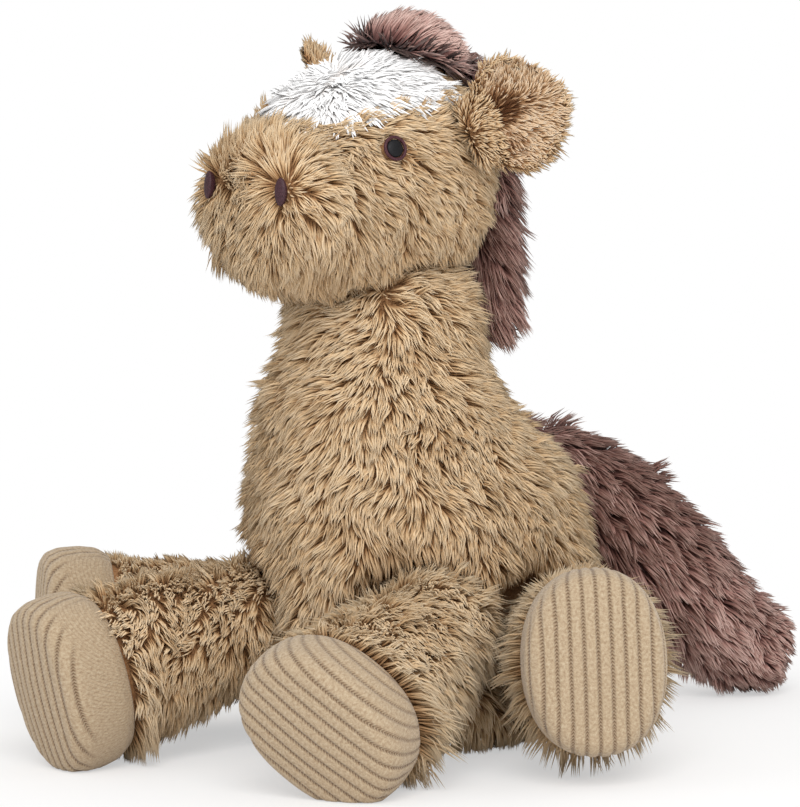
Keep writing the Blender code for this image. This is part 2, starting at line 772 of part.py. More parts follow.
def make_ring_shape():
    """The stitched ring round an eye: a low wall between two circles."""
    shape = bmesh.new()
    outer = EYE_RADIUS
    inner = EYE_RADIUS - EYE_RING
    wall = EYE_THICKNESS * RING_HEIGHT_SHARE
    profile = [(outer, 0), (outer, wall), (inner, wall), (inner, 0)]
    corners = [shape.verts.new((radius, 0, height)) for radius, height in profile]
    edges = [shape.edges.new((corners[i - 1], corners[i])) for i in range(len(corners))]
    bmesh.ops.spin(
        shape,
        geom=corners + edges,
        cent=(0, 0, 0),
        axis=(0, 0, 1),
        angle=math.tau,
        steps=STITCH_SIDES,
        use_merge=True,
    )
    bmesh.ops.remove_doubles(shape, verts=shape.verts, dist=SEAM_GAP / 10)
    return shape


def facing_turn(facing):
    """The turn that lays +Z along a direction and keeps +Y as upright as it can be."""
    across = Vector((0, 0, 1)).cross(facing).normalized()
    up = facing.cross(across).normalized()
    return Matrix((across, up, facing)).transposed()


def make_embroidery(black, brown, maroon, pivot):
    for name, side in (("left", 1), ("right", -1)):
        place, facing = head_surface(-EYE_FRONT, EYE_HEIGHT, side)
        seat = place + facing * STITCH_STAND
        holder = make_pivot(name + "_eye_seat", seat, facing_turn(facing), pivot)
        object_from(name + "_eye_ring", make_ring_shape(), brown, holder)
        inside = EYE_RADIUS - EYE_RING - SEAM_GAP
        object_from(name + "_eye", dome_shape(inside, inside, EYE_THICKNESS), black, holder)
        place, facing = muzzle_surface(NOSTRIL_SIDE, NOSTRIL_HEIGHT, side)
        seat = place + facing * STITCH_STAND
        holder = make_pivot(name + "_nostril_seat", seat, facing_turn(facing), pivot)
        shape = dome_shape(NOSTRIL_HALF_WIDTH, NOSTRIL_HALF_HEIGHT, NOSTRIL_THICKNESS)
        object_from(name + "_nostril", shape, maroon, holder)


def main():
    clear_scene()
    fur = make_material("tan_plush", (0.54, 0.36, 0.19), 0.9)
    white = make_material("white_plush", (0.86, 0.82, 0.78), 0.9)
    shag = make_material("brown_shag", (0.16, 0.08, 0.066), 0.85)
    knit = make_material("rib_knit", (0.46, 0.33, 0.21), 0.9)
    lining = make_material("short_plush", (0.36, 0.22, 0.12), 0.9)
    filling = make_material("polyester_fibre", (0.9, 0.9, 0.88), 0.95)
    black = make_material("black_thread", (0.008, 0.007, 0.01), 0.45)
    brown = make_material("brown_thread", (0.04, 0.017, 0.02), 0.5)
    maroon = make_material("maroon_thread", (0.07, 0.03, 0.036), 0.5)
    make_body(fur, filling)
    make_legs(fur, knit, filling)
    make_tail(shag)
    turn = Matrix.Rotation(HEAD_TURN, 3, "Z") @ Matrix.Rotation(HEAD_ROLL, 3, "Y")
    head = make_pivot("neck_seam", Vector((0, -NECK_SETBACK, NECK_HEIGHT)), turn)
    cover, panel = make_head(fur, white, filling, head)
    forelock_room = make_mane(shag, head)
    combine(panel, forelock_room)
    make_ears(fur, lining, cover, head)
    make_embroidery(black, brown, maroon, head)


main()
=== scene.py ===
import json
import math

import bmesh
import bpy
import numpy as np
from mathutils import Matrix, Vector
from mathutils.bvhtree import BVHTree
from mathutils.kdtree import KDTree


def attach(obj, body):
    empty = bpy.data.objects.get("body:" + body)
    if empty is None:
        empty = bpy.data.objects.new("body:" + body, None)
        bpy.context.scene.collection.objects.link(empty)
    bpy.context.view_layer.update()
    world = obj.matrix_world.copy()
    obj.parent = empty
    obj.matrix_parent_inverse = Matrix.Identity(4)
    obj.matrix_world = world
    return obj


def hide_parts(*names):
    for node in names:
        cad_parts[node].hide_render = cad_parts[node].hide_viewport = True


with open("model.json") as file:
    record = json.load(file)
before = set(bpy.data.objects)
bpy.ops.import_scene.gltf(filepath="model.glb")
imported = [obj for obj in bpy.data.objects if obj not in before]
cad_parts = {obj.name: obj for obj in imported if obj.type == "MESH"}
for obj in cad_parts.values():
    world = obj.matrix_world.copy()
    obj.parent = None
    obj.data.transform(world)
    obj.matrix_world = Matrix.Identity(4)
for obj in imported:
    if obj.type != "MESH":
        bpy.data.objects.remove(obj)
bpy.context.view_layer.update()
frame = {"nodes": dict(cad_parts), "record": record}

millimetre = 0.001
up = Vector((0, 0, 1))


# Small helpers for colours, nodes and meshes

def linear(code):
    values = []
    for start in (1, 3, 5):
        level = int(code[start:start + 2], 16) / 255
        values.append(level / 12.92 if level <= 0.04045 else ((level + 0.055) / 1.055) ** 2.4)
    return (*values, 1)


def addNode(tree, kind, settings=None, links=None):
    node = tree.nodes.new(kind)
    for name, value in (settings or {}).items():
        if isinstance(name, int) or name in node.inputs:
            node.inputs[name].default_value = value
        else:
            setattr(node, name, value)
    for name, source in (links or {}).items():
        tree.links.new(source, node.inputs[name])
    return node


def newMaterial(name, roughness, sheen=0.0, specular=0.3):
    material = bpy.data.materials.new(name)
    material.use_nodes = True
    shader = material.node_tree.nodes["Principled BSDF"]
    shader.inputs["Roughness"].default_value = roughness
    shader.inputs["Metallic"].default_value = 0
    shader.inputs["IOR"].default_value = 1.5
    shader.inputs["Specular IOR Level"].default_value = specular
    shader.inputs["Sheen Weight"].default_value = sheen
    shader.inputs["Sheen Roughness"].default_value = 0.5
    return material, material.node_tree, shader


def rampNode(tree, factor, stops):
    node = addNode(tree, "ShaderNodeValToRGB", links={"Fac": factor})
    ramp = node.color_ramp
    ramp.elements[0].position, ramp.elements[0].color = stops[0][0], linear(stops[0][1])
    ramp.elements[1].position, ramp.elements[1].color = stops[-1][0], linear(stops[-1][1])
    for place, code in stops[1:-1]:
        ramp.elements.new(place).color = linear(code)
    return node


def newObject(name, mesh, material):
    piece = bpy.data.objects.new(name, mesh)
    bpy.context.scene.collection.objects.link(piece)
    mesh.materials.append(material)
    return piece


def meshFrom(name, shape, smooth=True):
    mesh = bpy.data.meshes.new(name)
    shape.to_mesh(mesh)
    shape.free()
    if smooth:
        mesh.shade_smooth()
    return mesh


def pointsOf(mesh):
    values = np.empty(len(mesh.vertices) * 3, np.float32)
    mesh.vertices.foreach_get("co", values)
    return values.reshape(-1, 3).astype(float)


def unit(vectors):
    return vectors / np.maximum(np.linalg.norm(vectors, axis=-1, keepdims=True), 1e-9)


def centreOf(node):
    return Vector(pointsOf(frame["nodes"][node].data).mean(axis=0))


def jointPlace(name):
    joint = next(item for item in frame["record"]["behaviour"]["joints"] if item["name"] == name)
    return Vector(joint["pos_m"]), Vector(joint["axis"]).normalized()


# The head leans and turns about the neck seam, as its CAD bodies do
headPose = {"turn": -6, "roll": 3}
neckSeam, _ = jointPlace("neck_nod")
neckPoint = np.array(neckSeam)
headTurn = Matrix.Rotation(math.radians(headPose["turn"]), 3, "Z") @ Matrix.Rotation(
    math.radians(headPose["roll"]), 3, "Y")


def onHead(x, y, z):
    return neckSeam + headTurn @ Vector((x, y, z)) * millimetre


# Materials

def pileMaterial(name, stops, toneStops, sheen):
    # Brushed acrylic pile: each lock is painted darker towards its root, as painted shade deep in
    # the pile, and no two locks have quite one tone
    material, tree, shader = newMaterial(name, 0.8, sheen, 0.1)
    lock = addNode(tree, "ShaderNodeTexCoord")
    split = addNode(tree, "ShaderNodeSeparateXYZ", links={"Vector": lock.outputs["UV"]})
    along = rampNode(tree, split.outputs["Y"], stops)
    tone = rampNode(tree, split.outputs["X"], toneStops)
    mix = addNode(tree, "ShaderNodeMix", {"data_type": "RGBA", "blend_type": "MULTIPLY"})
    mix.inputs[0].default_value = 1
    tree.links.new(along.outputs["Color"], mix.inputs[6])
    tree.links.new(tone.outputs["Color"], mix.inputs[7])
    tree.links.new(mix.outputs[2], shader.inputs["Base Color"])
    return material


def backingMaterial(name, dark, light):
    # Knitted polyester backing, seen only as the dark between the locks
    material, tree, shader = newMaterial(name, 0.95)
    place = addNode(tree, "ShaderNodeTexCoord")
    knit = addNode(tree, "ShaderNodeTexNoise", {"Scale": 900.0, "Detail": 3.0},
                   {"Vector": place.outputs["Object"]})
    colour = rampNode(tree, knit.outputs["Fac"], [(0.3, dark), (0.7, light)])
    tree.links.new(colour.outputs["Color"], shader.inputs["Base Color"])
    bump = addNode(tree, "ShaderNodeBump", {"Strength": 0.4, "Distance": 0.0005},
                   {"Height": knit.outputs["Fac"]})
    tree.links.new(bump.outputs["Normal"], shader.inputs["Normal"])
    return material


# The dark first stops at each lock's root are painted shade deep in the pile; the white pile has
# almost none
tanPile = pileMaterial("tan acrylic pile", [
    (0.0, "#795538"), (0.3, "#B8926A"), (0.6, "#DCC09A"), (1.0, "#EAD8BC")],
    [(0.0, "#C6B8A8"), (0.5, "#F1EBE4"), (1.0, "#FFFFFF")], 0.0)
whitePile = pileMaterial("white acrylic pile", [
    (0.0, "#F8F3F0"), (0.3, "#FEFBF9"), (0.6, "#FFFFFF"), (1.0, "#FFFFFF")],
    [(0.0, "#FBF9F8"), (1.0, "#FFFFFF")], 0.0)
brownPile = pileMaterial("mauve brown acrylic pile", [
    (0.0, "#3A2523"), (0.3, "#76524D"), (0.6, "#AB857C"), (1.0, "#E8CBC0")],
    [(0.0, "#A3958F"), (0.5, "#E0D8D5"), (1.0, "#FFFFFF")], 0.05)
# The lining's low tones are the painted shade in the folds of the ear's cup
liningPile = pileMaterial("short brown ear plush", [
    (0.0, "#836143"), (0.35, "#B28D68"), (0.7, "#D5B999"), (1.0, "#E6D7C2")],
    [(0.0, "#553B2C"), (0.3, "#A88D76"), (0.65, "#FFFFFF"), (1.0, "#FFFFFF")], 0.0)
tanBacking = backingMaterial("tan knitted backing", "#8A6241", "#AA8159")
brownBacking = backingMaterial("brown knitted backing", "#3A2625", "#5A3E3C")
whiteBacking = backingMaterial("white knitted backing", "#E9E2DC", "#F6F1EC")


def threadMaterial(name, dark, light, roughness):
    # Rayon embroidery thread in satin stitch: fine ribs and a silky shine
    material, tree, shader = newMaterial(name, roughness, 0.0, 0.25)
    place = addNode(tree, "ShaderNodeTexCoord")
    twist = addNode(tree, "ShaderNodeTexNoise", {"Scale": 2600.0, "Detail": 2.0},
                    {"Vector": place.outputs["Object"]})
    colour = rampNode(tree, twist.outputs["Fac"], [(0.35, dark), (0.65, light)])
    tree.links.new(colour.outputs["Color"], shader.inputs["Base Color"])
    bump = addNode(tree, "ShaderNodeBump", {"Strength": 0.3, "Distance": 0.0002},
                   {"Height": twist.outputs["Fac"]})
    tree.links.new(bump.outputs["Normal"], shader.inputs["Normal"])
    return material


blackThread = threadMaterial("black rayon thread", "#040406", "#131317", 0.5)
brownThread = threadMaterial("dark brown rayon thread", "#2E1519", "#552F36", 0.5)
maroonThread = threadMaterial("maroon rayon thread", "#281519", "#4C2F36", 0.5)
print("materials made")


# Skins: the stuffed forms under the pile

skinFloor = 0.5  # how near the floor a skin may come, in mm


def smoothen(shape, times):
    for _ in range(times):
        bmesh.ops.smooth_vert(shape, verts=shape.verts, factor=0.5,
                              use_axis_x=True, use_axis_y=True, use_axis_z=True)


def skinFrom(name, node, body, values, material):
    shape = bmesh.new()
    shape.from_mesh(frame["nodes"][node].data)
    bmesh.ops.remove_doubles(shape, verts=shape.verts, dist=0.02 * millimetre)
    source = newObject(name + "_source", meshFrom(name + "_source", shape), material)
    step = source.modifiers.new("Remesh", "REMESH")
    step.mode = "VOXEL"
    step.voxel_size = values["voxel"] * millimetre
    graph = bpy.context.evaluated_depsgraph_get()
    rough = bpy.data.meshes.new_from_object(source.evaluated_get(graph))
    bpy.data.objects.remove(source)
    shape = bmesh.new()
    shape.from_mesh(rough)
    bpy.data.meshes.remove(rough)
    smoothen(shape, values["smoothing"])
    shape.normal_update()
    inset = values["inset"] * millimetre
    for corner in shape.verts:
        corner.co -= corner.normal * inset
        corner.co.z = max(corner.co.z, skinFloor * millimetre)
    smoothen(shape, 2)
    mesh = meshFrom(name, shape)
    mesh.materials.clear()
    skin = newObject(name, mesh, material)
    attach(skin, body)
    return skin


# Locks of pile: one bmesh lock, bent and set by the thousand

# Shared by all locks: their outline, how far each strays from its tuft, their lowest point in mm
lockShape = {"sides": 3, "rootWidth": 0.75, "waist": 0.62, "stray": 6, "tuftLength": 0.08,
             "sway": 0.6, "swayBack": 0.7, "bendPull": 0.35, "toneStray": 0.2, "tuftTone": 0.1,
             "lowest": 0.6}
mostFaces = 190000  # in one piece


def lockTemplate():
    shape = bmesh.new()
    bmesh.ops.create_circle(shape, cap_ends=True, segments=lockShape["sides"],
                            radius=lockShape["rootWidth"])
    grown = bmesh.ops.extrude_edge_only(shape, edges=shape.edges[:])["geom"]
    ring = [item for item in grown if isinstance(item, bmesh.types.BMEdge)]
    for corner in (item for item in grown if isinstance(item, bmesh.types.BMVert)):
        corner.co = corner.co / lockShape["rootWidth"] + up * lockShape["waist"]
    tip = bmesh.ops.contextual_create(shape, geom=ring)["faces"]
    centre = bmesh.ops.poke(shape, faces=tip)["verts"][0]
    centre.co.z = 1
    bmesh.ops.triangulate(shape, faces=shape.faces)
    bmesh.ops.recalc_face_normals(shape, faces=shape.faces)
    shape.verts.index_update()
    points = np.array([corner.co[:] for corner in shape.verts])
    faces = np.array([[corner.index for corner in face.verts] for face in shape.faces])
    shape.free()
    return points, faces


lockPoints, lockFaces = lockTemplate()
mostLocks = mostFaces // len(lockFaces)


def scatter(skin, spacing, seed):
    mesh = skin.data
    mesh.calc_loop_triangles()
    corners = np.empty(len(mesh.loop_triangles) * 3, np.int32)
    mesh.loop_triangles.foreach_get("vertices", corners)
    corners = corners.reshape(-1, 3)
    points = pointsOf(mesh)
    normals = np.empty(len(mesh.vertices) * 3, np.float32)
    mesh.vertex_normals.foreach_get("vector", normals)
    normals = normals.reshape(-1, 3)
    triangles = points[corners]
    area = np.linalg.norm(np.cross(triangles[:, 1] - triangles[:, 0],
                                   triangles[:, 2] - triangles[:, 0]), axis=1) / 2
    random = np.random.default_rng(seed)
    step = spacing * millimetre
    chosen = random.choice(len(area), int(area.sum() / step ** 2 * 6), p=area / area.sum())
    share = random.random((len(chosen), 2))
    share = np.where(share.sum(axis=1, keepdims=True) > 1, 1 - share, share)
    weights = np.column_stack([1 - share.sum(axis=1), share])[:, :, None]
    roots = (triangles[chosen] * weights).sum(axis=1)
    facing = unit((normals[corners[chosen]] * weights).sum(axis=1))
    _, first = np.unique(np.floor(roots / step).astype(int), axis=0, return_index=True)
    first.sort()
    return roots[first], facing[first]


def waves(points, wavelength, seed):
    # A smooth wander between -1 and 1 that repeats nowhere on the piece
    random = np.random.default_rng(seed)
    directions = unit(random.normal(size=(6, 3))) * (math.tau / (wavelength * millimetre))
    directions *= random.uniform(0.6, 1.5, (6, 1))
    phases = random.uniform(0, math.tau, 6)
    return np.sin(points @ directions.T + phases).sum(axis=1) / 3.2


def growPile(name, body, roots, normals, comb, values, material, replaced):
    random = np.random.default_rng(values["seed"])
    count = len(roots)
    # Locks stand in small tufts, each with a lean of its own
    first = np.unique(np.floor(roots / (values["tuft"] * millimetre)).astype(int), axis=0,
                      return_index=True)[1]
    tree = KDTree(len(first))
    for i in first:
        tree.insert(Vector(roots[i]), int(i))
    tree.balance()
    nearest = np.array([tree.find(Vector(root))[1] for root in roots])
    tuftLean = random.normal(size=count)[nearest]
    tuftTurn = random.normal(size=count)[nearest]
    comb = unit(comb - normals * (comb * normals).sum(axis=1, keepdims=True))
    side = np.cross(comb, normals)
    turn = np.radians(waves(roots, values["swirl"], values["seed"]) * values["wander"]
                      + tuftTurn * values["scatter"]
                      + random.normal(size=count) * lockShape["stray"])[:, None]
    comb = unit(comb * np.cos(turn) + side * np.sin(turn))
    length = values["length"] * millimetre * (1 + values["uneven"] * random.uniform(-1, 1, count))
    length = (length * (1 + lockShape["tuftLength"] * tuftLean)
              * values.get("scale", np.ones(count)))[:, None]
    ruffle = values["ruffle"] * tuftLean + values.get("raised", 0)
    lift, rest = (
        np.radians(values[way] + ruffle + values["ruffle"] * random.normal(size=count))[:, None]
        for way in ("lift", "rest"))
    rootWay = normals * np.sin(lift) + comb * np.cos(lift)
    tipWay = unit(normals * np.sin(rest) + comb * np.cos(rest) - np.array(up) * values["droop"])
    sway = (lockShape["sway"] * random.normal(size=count)[nearest]
            + lockShape["sway"] * random.normal(size=count))
    sideways = unit(np.cross(normals, comb)) * length * (values["wave"] * sway)[:, None]
    bend = roots + rootWay * length * 0.5 + sideways
    tips = bend + tipWay * length * 0.5 - sideways * lockShape["swayBack"]
    # Their tips draw together, which opens dark partings between the tufts
    pull = (values["gather"] * random.uniform(0.5, 1.2, count))[:, None]
    tips = tips + (tips[nearest] - tips) * pull
    bend = bend + (bend[nearest] - bend) * pull * lockShape["bendPull"]
    lowest = lockShape["lowest"] * millimetre
    bend[:, 2] = np.maximum(bend[:, 2], lowest)
    tips[:, 2] = np.maximum(tips[:, 2], lowest)
    width = (values["width"] * millimetre / 2 * random.uniform(0.75, 1.2, count))[:, None]
    tone = np.clip(0.5 + lockShape["toneStray"] * random.normal(size=count)
                   + lockShape["tuftTone"] * tuftTurn
                   + values["patches"] * waves(roots, values["patchSize"], values["seed"] + 7)
                   + values.get("tone", 0), 0.02, 0.98)
    across = unit(np.cross(bend - roots, normals + 1e-6))
    over = unit(np.cross(tips - roots, across))
    # A few larger pieces, none with more faces than mostFaces
    order = np.argsort(np.arctan2(roots[:, 0] - roots[:, 0].mean(),
                                  roots[:, 1] - roots[:, 1].mean()))
    parts = np.array_split(order, math.ceil(count / mostLocks))
    for number, part in enumerate(parts):
        label = name if len(parts) == 1 else name + "_" + str(number + 1)
        piece = lockMesh(label, roots[part], bend[part], tips[part], across[part], over[part],
                         width[part], tone[part], normals[part], values["softness"], material)
        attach(piece, body)
        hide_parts(*replaced)
    print(name, count, "locks in", len(parts), "pieces")


def lockMesh(name, roots, bend, tips, across, over, width, tone, normals, softness, material):
    share = lockPoints[:, 2][None, :, None]
    start, middle, end = roots[:, None, :], bend[:, None, :], tips[:, None, :]
    line = start * (1 - share) ** 2 + middle * 2 * share * (1 - share) + end * share ** 2
    points = (line + across[:, None, :] * lockPoints[:, 0][None, :, None] * width[:, None, :]
              + over[:, None, :] * lockPoints[:, 1][None, :, None] * width[:, None, :])
    faces = (lockFaces[None] + (np.arange(len(roots)) * len(lockPoints))[:, None, None]).reshape(-1)
    mesh = bpy.data.meshes.new(name)
    mesh.vertices.add(len(roots) * len(lockPoints))
    mesh.vertices.foreach_set("co", points.reshape(-1).astype(np.float32))
    mesh.loops.add(len(faces))
    mesh.loops.foreach_set("vertex_index", faces.astype(np.int32))
    mesh.polygons.add(len(faces) // 3)
    mesh.polygons.foreach_set("loop_start", np.arange(0, len(faces), 3, dtype=np.int32))
    mesh.update(calc_edges=True)
    # The map's width is the lock's tone and its height runs from root to tip
    corner = lockFaces.reshape(-1)
    wide = 0.012 * lockPoints[corner, 0]
    high = np.clip(lockPoints[corner, 2], 0.01, 0.99)
    chart = np.empty((len(roots), len(corner), 2), np.float32)
    chart[:, :, 0] = np.clip(tone[:, None] + wide, 0.005, 0.995)
    chart[:, :, 1] = high
    mesh.uv_layers.new(name="OFBake").data.foreach_set("uv", chart.reshape(-1))
    mesh.shade_smooth()
    # Light falls on the pile as on one soft surface, more than on each lock by itself
    own = np.empty(len(mesh.vertices) * 3, np.float32)
    mesh.vertex_normals.foreach_get("vector", own)
    shared = np.repeat(normals, len(lockPoints), axis=0)
    mesh.normals_split_custom_set_from_vertices(
        unit(own.reshape(-1, 3) * (1 - softness) + shared * softness))
    return newObject(name, mesh, material)


# What lies inside another piece grows no pile

def hullOf(node):
    shape = bmesh.new()
    shape.from_mesh(frame["nodes"][node].data)
    hull = bmesh.ops.convex_hull(shape, input=shape.verts)
    unused = [item for item in hull["geom_interior"] if isinstance(item, bmesh.types.BMVert)]
    bmesh.ops.delete(shape, geom=unused, context="VERTS")
    bmesh.ops.recalc_face_normals(shape, faces=shape.faces)
    tree = BVHTree.FromBMesh(shape)
    shape.free()
    return tree


def depthIn(tree, points):
    depths = np.empty(len(points))
    for i, point in enumerate(points):
        place, facing, _, distance = tree.find_nearest(Vector(point))
        inside = (Vector(point) - place).dot(facing) < 0
        depths[i] = distance if inside else -distance
    return depths


legNames = ("front_left", "front_right", "hind_left", "hind_right")
hulls = {name: hullOf(name + "_leg_cover") for name in legNames}
hulls |= {"body": hullOf("body_cover"), "head": hullOf("head_cover"), "tail": hullOf("tail"),
          "forelock": hullOf("forelock")}
print("hulls made")


# Body

bodyPile = {"spacing": 1.3, "length": 13.2, "uneven": 0.22, "width": 0.85, "lift": 58, "rest": 26,
            "ruffle": 8, "wave": 0.06, "droop": 0.25, "wander": 38, "scatter": 15, "swirl": 36,
            "tuft": 4.2, "gather": 0.45, "patches": 0.12, "patchSize": 30, "softness": 0.6,
            "parting": (41, -75, 186), "partingReach": 50, "fall": 0.25, "fan": 1.3,
            "shortBack": 0.5, "seed": 11}
bodySkin = {"voxel": 2.6, "smoothing": 6, "inset": 0.3}
# Where the backing stays plain, in mm: this deep in another piece, or below this height
bodyBare = {"inHead": 7, "inLimbs": 0.5, "hollow": 14, "hollowTop": 100, "seatTop": 10}

skin = skinFrom("body_skin", "body_stuffing", "body", bodySkin, tanBacking)
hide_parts("body_stuffing")
roots, normals = scatter(skin, bodyPile["spacing"], bodyPile["seed"])
keep = depthIn(hulls["head"], roots) < bodyBare["inHead"] * millimetre
for name in legNames + ("tail",):
    keep &= depthIn(hulls[name], roots) < bodyBare["inLimbs"] * millimetre
# Deep in the hip hollows and on the seat, where nothing shows, the backing stays plain
keep &= ((depthIn(hulls["body"], roots) < bodyBare["hollow"] * millimetre)
         | (roots[:, 2] > bodyBare["hollowTop"] * millimetre))
keep &= (normals[:, 2] > -0.9) | (roots[:, 2] > bodyBare["seatTop"] * millimetre)
roots, normals = roots[keep], normals[keep]
# The coat falls, and fans out from a parting on the chest
away = roots - np.array(Vector(bodyPile["parting"]) * millimetre)
near = np.exp(-np.linalg.norm(away, axis=1) / (bodyPile["partingReach"] * millimetre))[:, None]
comb = np.array([0, 0, -1.0]) + unit(away) * (bodyPile["fall"] + bodyPile["fan"] * near)
# On the upper back the coat is short
back = np.clip((roots[:, 1] + 0.005) / 0.03, 0, 1) * np.clip((roots[:, 2] - 0.12) / 0.03, 0, 1)
growPile("body_pile", "body", roots, normals, comb,
         dict(bodyPile, scale=1 - bodyPile["shortBack"] * back), tanPile,
         ["body_cover"])


# Legs

legPile = {"spacing": 1.3, "length": 12.5, "uneven": 0.22, "width": 0.85, "lift": 54, "rest": 24,
           "ruffle": 7, "wave": 0.06, "droop": 0.2, "wander": 36, "scatter": 16, "swirl": 26,
           "tuft": 4.2, "gather": 0.45, "patches": 0.16, "patchSize": 25, "softness": 0.6,
           "overSeam": 3, "inBody": 12, "ridge": 14, "ridgeWidth": 8, "flareFrom": 19,
           "flareOver": 15, "flareLength": 0.55, "flareLift": 36, "outerLength": 0.5,
           "outerLift": 12, "paleAndPaintedLight": 0.4, "seed": 31}
legSkin = {"voxel": 2.2, "smoothing": 4, "inset": 0.3}

legAxes = {}
for number, name in enumerate(legNames):
    hip, _ = jointPlace(name + "_leg_lift")
    hoofMiddle = centreOf(name + "_hoof")
    legAxes[name] = (hip, (hoofMiddle - hip).normalized())
    skin = skinFrom(name + "_leg_skin", name + "_leg_stuffing", name + "_leg", legSkin,
                    tanBacking)
    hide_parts(name + "_leg_stuffing")
    roots, normals = scatter(skin, legPile["spacing"], legPile["seed"] + number)
    along = (roots - np.array(hip)) @ np.array(legAxes[name][1])
    hoofPoints = pointsOf(frame["nodes"][name + "_hoof"].data)
    seam = ((hoofPoints - np.array(hip)) @ np.array(legAxes[name][1])).min()
    keep = along < seam - legPile["overSeam"] * millimetre
    keep &= depthIn(hulls["body"], roots) < legPile["inBody"] * millimetre
    roots, normals = roots[keep], normals[keep]
    # Combed slantwise down from a ridge on the horse's right of each leg
    beside = np.array(up.cross(legAxes[name][1]).normalized())
    ridge = (roots - np.array(hip)) @ beside / millimetre + legPile["ridge"]
    falling = np.clip(ridge / legPile["ridgeWidth"], -1, 1)[:, None]
    top = np.clip(normals[:, 2], 0, 1)[:, None]
    comb = (np.array(legAxes[name][1]) * 0.55 + beside * falling * top * 0.9
            + np.array([0, 0, -0.8]) * (1 - top))
    # Round the hoof's seam the pile flares out, is a little longer and is painted paler, partly for
    # the pale strands there and partly as painted light
    flare = np.clip((along[keep] - seam + legPile["flareFrom"] * millimetre)
                    / (legPile["flareOver"] * millimetre), 0, 1)
    flare = flare * (1 - 0.75 * top[:, 0])
    comb = comb + np.array(legAxes[name][1]) * (0.6 * flare)[:, None]
    # On the front left leg it is fullest on the horse's left, which lies open to the light, and it
    # is painted paler there as painted light;
    # on top of the hind right leg it is short
    outer = np.clip(normals @ beside * 0.9 - 0.2, 0, 1) * (name == "front_left")
    low = 0.4 * top[:, 0] * (name == "hind_right")
    # The raised tone where the pile flares and on the open side is painted light
    values = dict(legPile, seed=legPile["seed"] + number,
                  scale=(1 + legPile["flareLength"] * flare - 0.1 * top[:, 0]
                         + legPile["outerLength"] * outer - low),
                  raised=legPile["flareLift"] * flare + legPile["outerLift"] * outer,
                  tone=legPile["paleAndPaintedLight"] * flare + legPile["paleAndPaintedLight"] * outer)
    growPile(name + "_leg_pile", name + "_leg", roots, normals, comb, values, tanPile,
             [name + "_leg_cover"])


# Hooves: rib knit over the stuffed foot

hoofShape = {"halfWidth": 31, "halfHeight": 40.5, "square": 0.9, "around": 168, "step": 0.9,
             "length": 32, "ribSpacing": 6.2, "ribDepth": 0.8, "groove": 0.9, "stitch": 1.5,
             "rolls": {"front_left": 50, "front_right": 0, "hind_left": 0, "hind_right": 0},
             "plain": {"front_left": 0.2, "front_right": 1, "hind_left": 1, "hind_right": 1},
             "plainFrom": 0.8, "plainSide": 0.3, "plainOver": 0.2}
# From the seam to the middle of the sole: share of the length, of the width and of the height
hoofProfile = ((0.0, 0.925, 0.89), (0.17, 0.985, 0.975), (0.42, 1.0, 1.0), (0.72, 0.99, 0.99),
               (0.89, 0.93, 0.94), (0.97, 0.82, 0.85), (1.0, 0.66, 0.70), (1.04, 0.36, 0.38),
               (1.06, 0.12, 0.13), (1.06, 0.0, 0.0))


def mathNode(tree, operation, *inputs):
    node = tree.nodes.new("ShaderNodeMath")
    node.operation = operation
    for socket, value in zip(node.inputs, inputs):
        if isinstance(value, (int, float)):
            socket.default_value = value
        else:
            tree.links.new(value, socket)
    return node.outputs[0]


chartWidth = 100  # the width and height of the knit's map, in mm
knitLook = {"slant": 26, "dashPower": 1.5, "dash": 0.65, "dashLeast": 0.3, "course": 2.4,
            "coursePower": 4, "courseShade": 0.22, "depth": 0.8}


